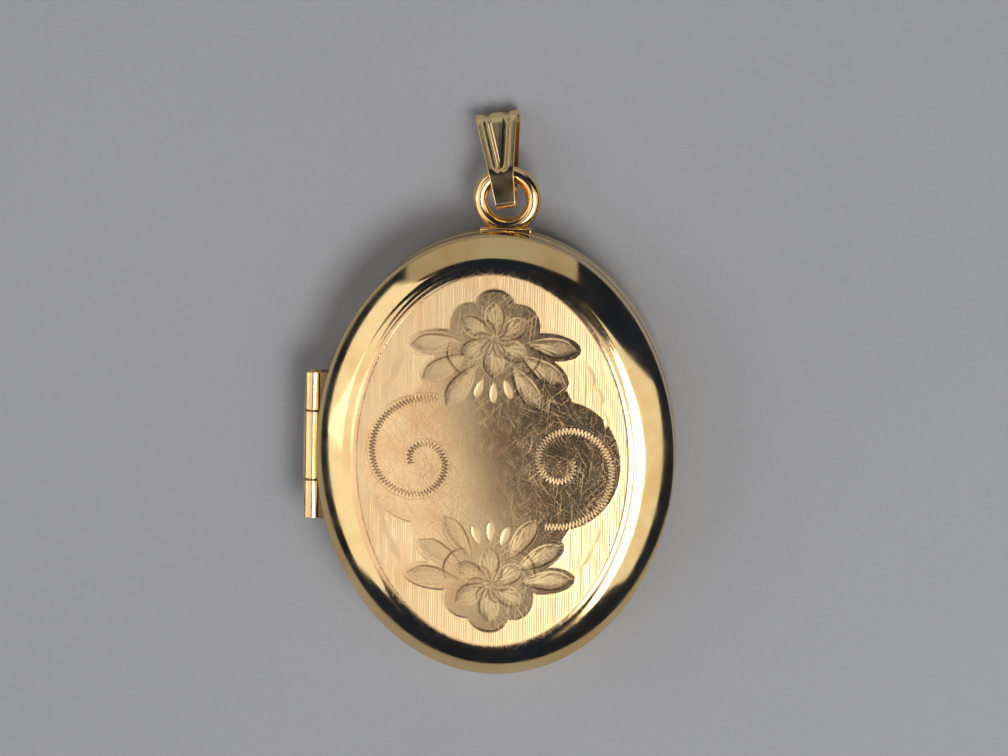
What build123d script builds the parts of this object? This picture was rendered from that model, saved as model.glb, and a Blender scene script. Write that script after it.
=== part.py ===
# Oval hinged locket with a loop and a bail, lying closed on its back. Millimetres.
# The origin is the centre of the flat back. +Z comes out through the engraved front,
# +Y runs to the bail and the hinge is on the -X side.
import math
import os

from build123d import *

# Case
case_width = 25.2
case_height = 31.7
case_depth = 6.5
panel_width = 20.0
panel_height = 27.6
panel_rise = 0.2  # how far the front panel bulges between its edge and its middle
side_height = 1.35  # upright part of each half's side, from the rim
shoulder_start_angle = 38.0  # how far round its oval the shoulder leaves the upright side
panel_edge_angle = 66.0  # and where it meets the panel's edge
shoulder_low_angle = 15.0  # the filled shoulder starts here, below the rim
shoulder_end_angle = 84.0  # and stops here, above the panel's bulge
sheet = 0.4
seam_gap = 0.06
seam_chamfer = 0.06
shoulder_steps = 8

# Inner frames, lip and what they hold
lip_wall = 0.4
lip_rise = 0.45
lip_margin = 0.95  # from the case's outer edge to the outside of the lip
running_gap = 0.06
fit_gap = 0.04
card_thickness = 0.25
window_thickness = 0.3
frame_thickness = 0.4
frame_band = 1.4
ledge_band = 0.7
ledge_thickness = 0.3

# Hinge
hinge_length = 10.6
knuckle_radius = 0.65
knuckle_bite = 0.2  # how far the barrels lie inside the case's outer edge
knuckle_filing = 0.07  # taken off the barrels' front and back
knuckle_gap = 0.1
middle_knuckle_length = 4.9
knuckle_taper = 0.2  # how much the far ends are filed back to follow the oval
pin_radius = 0.3
pin_overhang = 0.1
pin_running_gap = 0.03
swing_gap = 0.08  # between a barrel and whatever turns past it
bearer_height = 0.5

# Snap catch
catch_length = 3.0
catch_thickness = 0.3
catch_bead_radius = 0.16
catch_bead_out = 0.035  # how far the bead stands out past the lip
catch_groove_radius = 0.2

# Loop and its foot
ring_outer_radius = 2.38
ring_wire_radius = 0.525
ring_shift = 0.3  # the loop stands a little to the right of the middle
ring_sink = 0.23  # how far the filed side of the loop goes into the case's outline
ring_clearance = 0.195  # from the back half's rim down to the loop's wire
foot_width = 3.6
foot_reach = 0.15
foot_border = 0.05  # how far the foot stands out past the wire, front and back
foot_corner = 0.08

# Bail, from the middle of the loop's wire
bail_sheet = 0.32
bail_up = 4.4
bail_down = 2.55
bail_top_radius = 1.0
bail_eye_gap = 0.375  # between the loop's wire and the inside of the bail
bail_tip_radius = 0.46
bail_top_width = 3.05
bail_eye_width = 1.8  # narrow enough to swing round the curve of the loop
bail_tip_width = 1.4
bail_lean = 10.0  # degrees to the left
bail_rest_gap = 0.03  # the bail's end lies this far above the table
flute_radius = 0.34
flute_depth = 0.13
flute_spread = 0.52  # half the distance between the two flutes at the bail's top
flute_close = 0.14  # and where they run out above the loop's wire
flute_start = 0.2

seam_height = case_depth / 2
rim_x = case_width / 2
rim_y = case_height / 2
half_depth = (case_depth - seam_gap) / 2
front_rim = seam_height + seam_gap / 2
back_rim = seam_height - seam_gap / 2
start_share = math.cos(math.radians(shoulder_start_angle))
start_height = math.sin(math.radians(shoulder_start_angle))
edge_share = math.cos(math.radians(panel_edge_angle))
edge_height = math.sin(math.radians(panel_edge_angle))
hinge_x = -rim_x - (knuckle_radius - knuckle_bite)
margin = 5.0  # how far cutting shapes run past what they cut


def oval(half_x, half_y, z):
    return Pos(0, 0, z) * Ellipse(half_x, half_y)


def oval_block(half_x, half_y, z_low, z_high):
    return extrude(oval(half_x, half_y, z_low), z_high - z_low)


def block(x_low, x_high, y_low, y_high, z_low, z_high):
    middle = ((x_low + x_high) / 2, (y_low + y_high) / 2, (z_low + z_high) / 2)
    return Pos(*middle) * Box(x_high - x_low, y_high - y_low, z_high - z_low)


def slab(z_low, z_high):
    """Everything between two heights."""
    return block(-rim_x - margin, rim_x + margin, -rim_y - margin, rim_y + margin, z_low, z_high)


def bar_along_y(radius, y_low, y_high, x, z):
    return Pos(x, (y_low + y_high) / 2, z) * Rot(90, 0, 0) * Cylinder(radius, y_high - y_low)


def shoulder(inset, panel_edge, last_angle):
    """Half of the case as a solid, its rim on z = 0, inset from the outer skin."""
    bow_x = (rim_x - panel_width / 2) / (start_share - edge_share)
    bow_y = (rim_y - panel_height / 2) / (start_share - edge_share)
    bow_z = (panel_edge - side_height) / (edge_height - start_height)
    sections = []
    for step in range(shoulder_steps + 1):
        share = step / shoulder_steps
        angle = math.radians(shoulder_low_angle + (last_angle - shoulder_low_angle) * share)
        half_x = rim_x - bow_x * start_share + (bow_x - inset) * math.cos(angle)
        half_y = rim_y - bow_y * start_share + (bow_y - inset) * math.cos(angle)
        height = side_height - bow_z * start_height + (bow_z - inset) * math.sin(angle)
        sections.append(oval(half_x, half_y, height))
    return loft(sections) & oval_block(rim_x - inset, rim_y - inset, 0, case_depth)


def front_solid(inset):
    """The domed front half, filled, with its rim at the seam."""
    body = shoulder(inset, half_depth - panel_rise, shoulder_end_angle)
    half = panel_width / 2
    dome_radius = (half**2 + panel_rise**2) / (2 * panel_rise)
    reach = rim_x + margin
    drop = dome_radius - math.sqrt(dome_radius**2 - reach**2)
    peak = half_depth - inset
    profile = make_face(
        [
            ThreePointArc(
                (-reach, 0, peak - drop),
                (0, 0, peak),
                (reach, 0, peak - drop),
            ),
            Polyline(
                (reach, 0, peak - drop),
                (reach, 0, -margin),
                (-reach, 0, -margin),
                (-reach, 0, peak - drop),
            ),
        ]
    )
    right_half = profile & block(0, 2 * reach, -margin, margin, -2 * margin, 2 * margin)
    dome = scale(revolve(right_half, Axis.Z), (1, panel_height / panel_width, 1))
    return Pos(0, 0, front_rim) * (body & dome)


def back_solid(inset):
    """The flat back half, filled, with its rim at the seam and its panel at z = inset."""
    body = shoulder(inset, half_depth, panel_edge_angle)
    body = Pos(0, 0, back_rim) * Rot(180, 0, 0) * body
    return body & slab(inset, case_depth)


lip_x = rim_x - lip_margin
lip_y = rim_y - lip_margin
inner_x = lip_x - lip_wall
inner_y = lip_y - lip_wall
frame_low = lip_rise + running_gap  # the front photo frame starts beyond the lip
middle_end = middle_knuckle_length / 2
outer_start = middle_end + knuckle_gap
hinge_end = hinge_length / 2
hinge_clearance = knuckle_radius + swing_gap


def hinge_room(own_knuckle_in_the_middle):
    """What a half gives up to the barrels: a seat for its own, swinging room for the rest."""
    middle = knuckle_radius if own_knuckle_in_the_middle else hinge_clearance
    ends = hinge_clearance if own_knuckle_in_the_middle else knuckle_radius
    reach = middle_end if own_knuckle_in_the_middle else outer_start
    room = bar_along_y(middle, -reach, reach, hinge_x, seam_height)
    room += bar_along_y(ends, reach, hinge_end + knuckle_gap, hinge_x, seam_height)
    room += bar_along_y(ends, -hinge_end - knuckle_gap, -reach, hinge_x, seam_height)
    return room


front_filled = front_solid(0)
front_cavity = front_solid(sheet)
back_filled = back_solid(0)
back_cavity = back_solid(sheet)
front_hinge_room = hinge_room(True)
back_hinge_room = hinge_room(False)


def cover(filled, cavity, room):
    shell = filled - cavity
    rim_edges = shell.edges().filter_by(lambda edge: abs(edge.center().Z - seam_height) < seam_gap)
    outer_edge = rim_edges.sort_by(lambda edge: edge.length)[-1]
    return chamfer(outer_edge, seam_chamfer) - room


def liner(cavity, rim, ledge_low, ledge_high):
    """Band inside a rim with a ledge that the picture card rests on."""
    low = min(rim, ledge_low)
    high = max(rim, ledge_high)
    band = cavity & slab(low, high)
    band -= oval_block(inner_x, inner_y, low - margin, high + margin)
    ledge = cavity & slab(ledge_low, ledge_high)
    ledge -= oval_block(inner_x - ledge_band, inner_y - ledge_band, low - margin, high + margin)
    return band + ledge


stack_thickness = frame_thickness + window_thickness + card_thickness
parts = {}
parts["front_cover"] = cover(front_filled, front_cavity, front_hinge_room)
parts["back_cover"] = cover(back_filled, back_cavity, back_hinge_room)

# Back liner, with the lip that rises past the seam and the notch for the snap catch
back_ledge = back_rim - stack_thickness
back_liner = liner(back_cavity, back_rim, back_ledge - ledge_thickness, back_ledge)
lip = oval_block(lip_x, lip_y, back_rim, seam_height + lip_rise)
lip -= oval_block(inner_x, inner_y, back_rim - margin, seam_height + margin)
notch = block(0, rim_x, -catch_length / 2, catch_length / 2, back_rim, seam_height + margin)
parts["back_liner"] = back_liner + (lip - notch) - back_hinge_room

# Front liner, bored out round the lip
front_ledge = front_rim + frame_low + stack_thickness
front_liner = liner(front_cavity, front_rim, front_ledge, front_ledge + ledge_thickness)
front_liner -= oval_block(lip_x + running_gap, lip_y + running_gap, 0, seam_height + frame_low)
catch_wall = lip_x + running_gap
bead_height = seam_height + lip_rise / 2
groove_x = catch_wall + catch_bead_out - catch_groove_radius
groove_end = catch_length / 2 + fit_gap
front_liner -= bar_along_y(catch_groove_radius, -groove_end, groove_end, groove_x, bead_height)
parts["front_liner"] = front_liner - front_hinge_room


def picture_stack(side, first, step, room):
    """Photo frame, window and card, stacked from the seam inwards; step is -1 in the back half."""
    loose_x = inner_x - fit_gap
    loose_y = inner_y - fit_gap
    after_frame = first + step * frame_thickness
    after_window = after_frame + step * window_thickness
    after_card = after_window + step * card_thickness

    def disc(start, end):
        return oval_block(loose_x, loose_y, min(start, end), max(start, end)) & room

    hole = oval_block(loose_x - frame_band, loose_y - frame_band, 0, case_depth)
    frame = disc(first, after_frame) - hole
    opening_edges = frame.edges().filter_by(lambda edge: abs(edge.center().Z - first) < fit_gap)
    opening_edge = opening_edges.sort_by(lambda edge: edge.length)[0]
    parts[side + "_photo_frame"] = chamfer(opening_edge, frame_thickness / 2)
    parts[side + "_window"] = disc(after_frame, after_window)
    parts[side + "_card"] = disc(after_window, after_card)


picture_stack("back", back_rim, -1, back_solid(sheet + fit_gap))
picture_stack("front", front_rim + frame_low, 1, front_solid(sheet + fit_gap))

# Snap catch: a spring tab in the lip's notch with a bead that meets the front liner's groove
catch_end = catch_length / 2 - fit_gap
tab_x = inner_x + catch_thickness
tab = block(inner_x, tab_x, -catch_end, catch_end, back_rim, seam_height + lip_rise)
bead_x = lip_x + catch_bead_out - catch_bead_radius
parts["snap_catch"] = tab + bar_along_y(catch_bead_radius, -catch_end, catch_end, bead_x, bead_height)


def knuckle(y_low, y_high, bore):
    """One barrel, filed flat at the front and the back."""
    flat = knuckle_radius - knuckle_filing
    body = bar_along_y(knuckle_radius, y_low, y_high, hinge_x, seam_height)
    body &= Pos(hinge_x, 0, seam_height) * Box(2 * margin, case_height, 2 * flat)
    return body - bar_along_y(bore, y_low - margin, y_high + margin, hinge_x, seam_height)


def end_knuckle(side):
    """Outer barrel; side is 1 towards the bail and -1 away from it."""
    y_low, y_high = sorted((side * outer_start, side * hinge_end))
    body = knuckle(y_low, y_high, pin_radius)
    length = hinge_end - outer_start
    swing = math.degrees(math.atan2(knuckle_taper, length))
    cutter = Pos(-margin / 2, side * margin / 2, 0) * Box(margin, 2 * margin, margin)
    corner = Pos(hinge_x - knuckle_radius, side * outer_start, seam_height)
    return body - corner * Rot(0, 0, -side * swing) * cutter


def bearer(filled, room, y_low, y_high, z_low, z_high):
    """Strip on a rim that barrels are soldered to."""
    return block(hinge_x, -rim_x + margin, y_low, y_high, z_low, z_high) - filled - room


parts["hinge_knuckle_middle"] = knuckle(-middle_end, middle_end, pin_radius + pin_running_gap)
parts["hinge_knuckle_upper"] = end_knuckle(1)
parts["hinge_knuckle_lower"] = end_knuckle(-1)
pin_end = hinge_end + pin_overhang
parts["hinge_pin"] = bar_along_y(pin_radius, -pin_end, pin_end, hinge_x, seam_height)
top = seam_height + bearer_height
low = seam_height - bearer_height
parts["front_hinge_bearer"] = bearer(front_filled, front_hinge_room, -hinge_end, hinge_end, front_rim, top)
parts["back_bearer_upper"] = bearer(back_filled, back_hinge_room, outer_start, hinge_end, low, back_rim)
parts["back_bearer_lower"] = bearer(back_filled, back_hinge_room, -hinge_end, -outer_start, low, back_rim)

# Loop, filed where it sits on the case, and the foot under it
ring_middle_radius = ring_outer_radius - ring_wire_radius
ring_y = rim_y + ring_outer_radius - ring_sink
ring_z = back_rim - ring_clearance - ring_wire_radius
foot_half_depth = ring_wire_radius + foot_border
bail_eye_radius = ring_wire_radius + bail_eye_gap + bail_sheet
ring_centre = Pos(ring_shift, ring_y, ring_z)
whole_ring = ring_centre * Torus(ring_middle_radius, ring_wire_radius)
foot = block(
    ring_shift - foot_width / 2,
    ring_shift + foot_width / 2,
    rim_y - foot_width / 2,
    rim_y + foot_reach,
    ring_z - foot_half_depth,
    ring_z + foot_half_depth,
)
foot = fillet(foot.edges().filter_by(Axis.Z).sort_by(Axis.Y)[-2:], foot_corner) - back_filled
parts["ring_foot"] = foot
parts["bail_ring"] = whole_ring - back_filled - foot


def bail_loop(inset):
    """The bail's side outline as a face, inset from its outer skin."""
    eye_z = bail_eye_radius - inset
    circles = [
        Pos(0, bail_up - bail_top_radius) * Circle(bail_top_radius - inset),
        Circle(eye_z),
        Pos(0, bail_tip_radius - bail_down) * Circle(bail_tip_radius - inset),
    ]
    outline = make_hull([circle.edge() for circle in circles])
    return Plane.YZ * Rot(0, 0, -90) * outline


def bail_at_origin():
    """Bail standing along +Y with the loop's wire through the origin along X."""
    half = bail_top_width / 2
    strip = extrude(bail_loop(0), half, both=True) - extrude(bail_loop(bail_sheet), margin, both=True)
    plan = make_face(
        Polyline(
            (-half, bail_up),
            (-bail_eye_width / 2, 0),
            (-bail_tip_width / 2, -bail_down),
            (bail_tip_width / 2, -bail_down),
            (bail_eye_width / 2, 0),
            (half, bail_up),
            close=True,
        )
    )
    strip &= extrude(plan, margin, both=True)
    lean = math.asin((bail_eye_radius - bail_top_radius) / (bail_up - bail_top_radius))
    for side in (-1, 1):
        ends = []
        for x, y in ((flute_close, flute_start), (flute_spread, bail_up)):
            skin = bail_eye_radius / math.cos(lean) - y * math.tan(lean)
            ends.append(Vector(side * x, y, skin + flute_radius - flute_depth))
        run = ends[1] - ends[0]
        align = (Align.CENTER, Align.CENTER, Align.MIN)
        strip -= Plane(ends[0], z_dir=run) * Cylinder(flute_radius, run.length, align=align)
    return strip


# The bail lies back until its far end rests on what the locket lies on
bail_drop = ring_z - bail_top_radius - bail_rest_gap
bail_tilt = math.degrees(math.asin(bail_drop / (bail_up - bail_top_radius)))
bail_place = ring_centre * Rot(0, 0, bail_lean) * Pos(0, ring_middle_radius, 0) * Rot(-bail_tilt, 0, 0)
parts["bail"] = bail_place * bail_at_origin()

os.makedirs("parts", exist_ok=True)
for name, solid in parts.items():
    export_step(solid, "parts/" + name + ".step")
    print(name, round(solid.volume, 3))
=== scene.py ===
import math

import bmesh
import bpy
import numpy as np
from mathutils import Matrix, Vector


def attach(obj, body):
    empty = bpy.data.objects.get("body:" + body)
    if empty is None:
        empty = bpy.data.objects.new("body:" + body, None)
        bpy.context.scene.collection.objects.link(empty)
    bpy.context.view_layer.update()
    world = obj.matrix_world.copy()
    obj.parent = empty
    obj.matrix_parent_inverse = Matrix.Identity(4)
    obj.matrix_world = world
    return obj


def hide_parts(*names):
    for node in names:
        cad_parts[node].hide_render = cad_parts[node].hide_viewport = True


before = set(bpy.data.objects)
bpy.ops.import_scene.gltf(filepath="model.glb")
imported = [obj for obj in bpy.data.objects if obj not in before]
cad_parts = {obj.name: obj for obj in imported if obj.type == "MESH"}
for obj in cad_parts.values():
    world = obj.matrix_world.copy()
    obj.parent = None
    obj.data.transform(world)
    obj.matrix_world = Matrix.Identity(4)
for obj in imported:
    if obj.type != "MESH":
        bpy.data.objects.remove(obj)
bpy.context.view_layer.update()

mm = 0.001
print("locket: frame loaded,", len(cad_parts), "parts")

# Sizes that several pieces share, in millimetres
case = {
    "halfWidth": 12.6,
    "halfHeight": 15.85,
    "depth": 6.5,
    "seamGap": 0.06,
    "sheet": 0.4,
    "panelHalfWidth": 10.0,
    "panelHalfHeight": 13.8,
    "panelRise": 0.2,
    "sideHeight": 1.35,
    "sideAngle": 38.0,  # where on its oval the shoulder leaves the upright side
    "panelEdgeAngle": 66.0,
    "panelRoll": 0.12,  # how far the panel's edge is rolled down
    "rollWidth": 0.45,
    "seamChamfer": 0.06,
    "segments": 288,
    "shoulderSteps": 26,
}
hinge = {
    "axisX": -13.05,
    "axisZ": 3.25,
    "radius": 0.65,
    "flat": 0.58,
    "room": 0.73,
    "middleEnd": 2.45,
    "endStart": 2.55,
    "end": 5.3,
    "taper": 0.2,
    "pinRadius": 0.3,
    "pinEnd": 5.4,
}
loop = {
    "centre": (0.3, 18.0, 2.5),
    "middleRadius": 1.855,
    "wireRadius": 0.525,
    "footTop": 16.0,
    "filedDown": 0.03,  # the loop's filed side is sunk this far into its foot
}

seam = case["depth"] / 2
frontRim = seam + case["seamGap"] / 2
backRim = seam - case["seamGap"] / 2
halfDepth = (case["depth"] - case["seamGap"]) / 2
edgeTurn, sideTurn = math.radians(case["panelEdgeAngle"]), math.radians(case["sideAngle"])
bowX = (case["halfWidth"] - case["panelHalfWidth"]) / (math.cos(sideTurn) - math.cos(edgeTurn))
bowY = (case["halfHeight"] - case["panelHalfHeight"]) / (math.cos(sideTurn) - math.cos(edgeTurn))
riseShare = math.sin(edgeTurn) - math.sin(sideTurn)
frontBow = (halfDepth - case["panelRise"] - case["sideHeight"]) / riseShare
backBow = (halfDepth - case["sideHeight"]) / riseShare
panelEdgeZ = frontRim + halfDepth - case["panelRise"]


def makePiece(name, points, faces, material, body, nodes, slotName, crease=35.0):
    # points are in millimetres, in the frame's own axes
    mesh = bpy.data.meshes.new(name)
    mesh.from_pydata([(x * mm, y * mm, z * mm) for x, y, z in points], [], faces)
    mesh.update()
    mesh.shade_smooth()
    mesh.set_sharp_from_angle(angle=math.radians(crease))
    piece = bpy.data.objects.new(name, mesh)
    bpy.context.scene.collection.objects.link(piece)
    mesh.materials.append(material)
    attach(piece, body)
    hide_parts(*nodes)
    return piece


def turnOval(profile, segments):
    # profile is a list of (half width, half height, z); a half width of 0 closes the shape at a point
    points, rings, faces = [], [], []
    for halfX, halfY, z in profile:
        first = len(points)
        count = 1 if halfX == 0 else segments
        for i in range(count):
            turn = 2 * math.pi * i / segments
            points.append((halfX * math.cos(turn), halfY * math.sin(turn), z))
        rings.append(range(first, first + count))
    for low, high in zip(rings, rings[1:]):
        for i in range(segments):
            j = (i + 1) % segments
            corners = [low[i % len(low)], low[j % len(low)], high[j % len(high)], high[i % len(high)]]
            kept = list(dict.fromkeys(corners))
            if len(kept) > 2:
                faces.append(kept)
    return points, faces


def shoulderRing(inset, bow, turn, rim, up):
    halfX = case["halfWidth"] - bowX * math.cos(sideTurn) + (bowX - inset) * math.cos(turn)
    halfY = case["halfHeight"] - bowY * math.cos(sideTurn) + (bowY - inset) * math.cos(turn)
    rise = case["sideHeight"] - bow * math.sin(sideTurn) + (bow - inset) * math.sin(turn)
    return min(halfX, case["halfWidth"] - inset), min(halfY, case["halfHeight"] - inset), rim + up * rise


def shellProfile(bow, rim, up, panelZ, innerZ, roll):
    # from the middle of the panel out over the shoulder, down the side, round the rim and back in underneath
    steps, bevel, sheet = case["shoulderSteps"], case["seamChamfer"], case["sheet"]
    profile = [(0, 0, panelZ)]
    for share in (0.5, 0.985):
        profile.append((share * case["panelHalfWidth"], share * case["panelHalfHeight"], panelZ))
    for turn in np.linspace(edgeTurn, sideTurn, steps):
        halfX, halfY, z = shoulderRing(0, bow, turn, rim, up)
        outward = (halfX - case["panelHalfWidth"]) / case["rollWidth"]
        profile.append((halfX, halfY, z - up * roll * math.exp(-(outward**2))))
    for share in (0.85, 0.5, 0.2):
        profile.append((case["halfWidth"], case["halfHeight"], rim + up * case["sideHeight"] * share))
    profile.append((case["halfWidth"], case["halfHeight"], rim + up * bevel))
    profile.append((case["halfWidth"] - bevel, case["halfHeight"] - bevel, rim))
    profile.append((case["halfWidth"] - sheet, case["halfHeight"] - sheet, rim))
    for turn in np.linspace(sideTurn, edgeTurn, steps // 2):
        profile.append(shoulderRing(sheet, bow, turn, rim, up))
    halfX, halfY, z = profile[-1]
    profile.append((halfX * 0.5, halfY * 0.5, innerZ))
    profile.append((0, 0, innerZ))
    return profile


def seatBarrels(points):
    # the rim is filed hollow where the hinge barrels lie
    seated = []
    for x, y, z in points:
        outX, outZ = x - hinge["axisX"], z - hinge["axisZ"]
        away = math.hypot(outX, outZ)
        if abs(y) < hinge["end"] + 0.1 and away < hinge["room"]:
            grow = hinge["room"] / max(away, 0.01)
            x = hinge["axisX"] + outX * grow
        seated.append((x, y, z))
    return seated


# Gold finishes. Colours are linear, sizes are in millimetres, bump is a share of a millimetre.
goldFinishes = {
    "shoulderGold": {"colour": (0.95, 0.70, 0.34), "redder": (0.86, 0.56, 0.23),
                     "rough": 0.10, "dent": 0.004, "scratch": 0.0007},
    "backGold": {"colour": (0.95, 0.70, 0.34), "redder": (0.85, 0.55, 0.23),
                 "rough": 0.16, "dent": 0.004, "scratch": 0.0012},
    "loopGold": {"colour": (0.97, 0.72, 0.35), "redder": (0.86, 0.52, 0.20),
                 "rough": 0.12, "dent": 0.004, "scratch": 0.0010},
    "bailGold": {"colour": (0.97, 0.73, 0.37), "redder": (0.88, 0.56, 0.23),
                 "rough": 0.14, "dent": 0.004, "scratch": 0.0010},
    "hingeGold": {"colour": (0.93, 0.68, 0.33), "redder": (0.74, 0.46, 0.20),
                  "rough": 0.18, "dent": 0.004, "scratch": 0.0014},
    # the bearers between barrels and shells are given a dark brown gold
    "darkBearerGold": {"colour": (0.34, 0.21, 0.11), "redder": (0.20, 0.12, 0.06),
                    "rough": 0.30, "dent": 0.001, "scratch": 0.0012},
    "innerGold": {"colour": (0.94, 0.70, 0.36), "redder": (0.84, 0.56, 0.25),
                  "rough": 0.26, "dent": 0.0006, "scratch": 0.0004, "smudge": 0.05},
    "pinWire": {"colour": (0.82, 0.60, 0.31), "redder": (0.62, 0.40, 0.20),
                "rough": 0.28, "dent": 0.004, "scratch": 0.0012},
}
goldWear = {
    "blotch": 0.22,  # patches per millimetre
    "smudge": 0.55,
    "scratchFine": 9.0,
    "scratchLong": 0.35,
    "dent": 0.45,
}


def startMaterial(name):
    material = bpy.data.materials.new(name)
    material.use_nodes = True
    nodes, links = material.node_tree.nodes, material.node_tree.links
    shader = nodes["Principled BSDF"]
    place = nodes.new("ShaderNodeTexCoord")
    toMm = nodes.new("ShaderNodeVectorMath")
    toMm.operation = "SCALE"
    toMm.inputs["Scale"].default_value = 1 / mm
    links.new(place.outputs["Object"], toMm.inputs[0])
    return material, nodes, links, shader, toMm.outputs[0]


def noise(nodes, links, place, scale, detail=3.0, stretch=None, turn=None, rough=0.55):
    if turn:
        spin = nodes.new("ShaderNodeVectorRotate")
        spin.rotation_type = "Z_AXIS"
        spin.inputs["Angle"].default_value = math.radians(turn)
        links.new(place, spin.inputs["Vector"])
        place = spin.outputs[0]
    if stretch:
        mapping = nodes.new("ShaderNodeMapping")
        mapping.inputs["Scale"].default_value = stretch
        links.new(place, mapping.inputs["Vector"])
        place = mapping.outputs[0]
    texture = nodes.new("ShaderNodeTexNoise")
    texture.inputs["Scale"].default_value = scale
    texture.inputs["Detail"].default_value = detail
    texture.inputs["Roughness"].default_value = rough
    links.new(place, texture.inputs["Vector"])
    return texture.outputs["Fac"]


def ramp(nodes, links, value, stops):
    node = nodes.new("ShaderNodeValToRGB")
    while len(node.color_ramp.elements) < len(stops):
        node.color_ramp.elements.new(0.5)
    for element, (position, colour) in zip(node.color_ramp.elements, stops):
        element.position = position
        element.color = (*colour, 1) if isinstance(colour, tuple) else (colour, colour, colour, 1)
    links.new(value, node.inputs[0])
    return node.outputs[0]


def maths(nodes, links, operation, *values):
    node = nodes.new("ShaderNodeMath")
    node.operation = operation
    for socket, value in zip(node.inputs, values):
        if isinstance(value, (int, float)):
            socket.default_value = value
        else:
            links.new(value, socket)
    return node.outputs[0]


def bump(nodes, links, height, distance, strength=1.0, under=None):
    node = nodes.new("ShaderNodeBump")
    node.inputs["Strength"].default_value = strength
    node.inputs["Distance"].default_value = distance * mm
    links.new(height, node.inputs["Height"])
    if under is not None:
        links.new(under, node.inputs["Normal"])
    return node.outputs[0]


def goldMaterial(name):
    look = goldFinishes[name]
    material, nodes, links, shader, place = startMaterial(name)
    shader.inputs["Metallic"].default_value = 1.0
    blotch = noise(nodes, links, place, goldWear["blotch"], 4.0)
    smudge = noise(nodes, links, place, goldWear["smudge"], 5.0)
    colour = ramp(nodes, links, blotch, [(0.35, look["redder"]), (0.56, look["colour"])])
    links.new(colour, shader.inputs["Base Color"])
    spread = look["rough"] * look.get("smudge", 0.4)
    clean, smeared = look["rough"] - spread * 0.6, look["rough"] + spread * 1.5
    dull = ramp(nodes, links, smudge, [(0.35, clean), (0.7, smeared)])
    links.new(dull, shader.inputs["Roughness"])
    fine, long = goldWear["scratchFine"], goldWear["scratchLong"]
    scratchA = noise(nodes, links, place, 1.0, 2.0, (fine, long, long), 18)
    scratchB = noise(nodes, links, place, 1.0, 2.0, (long, fine, fine), -31)
    both = maths(nodes, links, "ADD", scratchA, scratchB)
    dents = bump(nodes, links, noise(nodes, links, place, goldWear["dent"], 2.0), look["dent"])
    links.new(bump(nodes, links, both, look["scratch"], under=dents), shader.inputs["Normal"])
    return material


gold = {name: goldMaterial(name) for name in goldFinishes}
print("locket: gold finishes made")

# The two stamped shells
frontShellPoints, frontShellFaces = turnOval(
    shellProfile(frontBow, frontRim, 1, panelEdgeZ - 0.2, panelEdgeZ - case["sheet"], case["panelRoll"]),
    case["segments"],
)
frontShellFaces = [face[::-1] for face in frontShellFaces]
makePiece(
    "frontShell", seatBarrels(frontShellPoints), frontShellFaces, gold["shoulderGold"], "front_half",
    ["front_cover"], "engraved_gold",
)
backShellPoints, backShellFaces = turnOval(
    shellProfile(backBow, backRim, -1, 0.0, case["sheet"], 0.0), case["segments"]
)
makePiece(
    "backShell", seatBarrels(backShellPoints), backShellFaces, gold["backGold"], "back_half",
    ["back_cover"], "polished_gold",
)
print("locket: shells turned")


def barrelPiece(name, low, high, body, node, taperSide=0):
    # a tube filed lower at the front and the back, its ends eased
    steps, ease, slices = 72, 0.05, 10
    stations = [(low, -ease), (low + ease, 0.0)]
    stations += [(low + ease + (high - low - 2 * ease) * i / slices, 0.0) for i in range(1, slices)]
    stations += [(high - ease, 0.0), (high, -ease)]
    points, faces = [], []
    for y, shrink in stations:
        share = (y - low) / (high - low) if taperSide > 0 else (high - y) / (high - low)
        outer = hinge["radius"] - (hinge["taper"] * share if taperSide else 0)
        for i in range(steps):
            turn = 2 * math.pi * i / steps
            radius = hinge["radius"] + shrink
            x = max(radius * math.cos(turn), -outer - shrink * 0.5)
            flat = hinge["flat"] + shrink
            z = flat * math.sin(turn)
            points.append((hinge["axisX"] + x, y, hinge["axisZ"] + z))
    for k in range(len(stations) - 1):
        for i in range(steps):
            j = (i + 1) % steps
            faces.append((k * steps + i, (k + 1) * steps + i, (k + 1) * steps + j, k * steps + j))
    last = (len(stations) - 1) * steps
    bore = hinge["pinRadius"] + 0.02
    for first, y, flip in ((0, low, False), (last, high, True)):
        inner = len(points)
        for deep in (0.0, 0.3 if not flip else -0.3):
            for i in range(steps):
                turn = 2 * math.pi * i / steps
                points.append(
                    (hinge["axisX"] + bore * math.cos(turn), y + deep, hinge["axisZ"] + bore * math.sin(turn))
                )
        for i in range(steps):
            j = (i + 1) % steps
            face = (first + i, first + j, inner + j, inner + i)
            wall = (inner + i, inner + j, inner + steps + j, inner + steps + i)
            faces += [tuple(reversed(face)), tuple(reversed(wall))] if flip else [face, wall]
    return makePiece(name, points, faces, gold["hingeGold"], body, [node], "hinge_gold", crease=30)


barrelPiece("middleBarrel", -hinge["middleEnd"], hinge["middleEnd"], "front_half", "hinge_knuckle_middle")
barrelPiece("upperBarrel", hinge["endStart"], hinge["end"], "back_half", "hinge_knuckle_upper", 1)
barrelPiece("lowerBarrel", -hinge["end"], -hinge["endStart"], "back_half", "hinge_knuckle_lower", -1)


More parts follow.
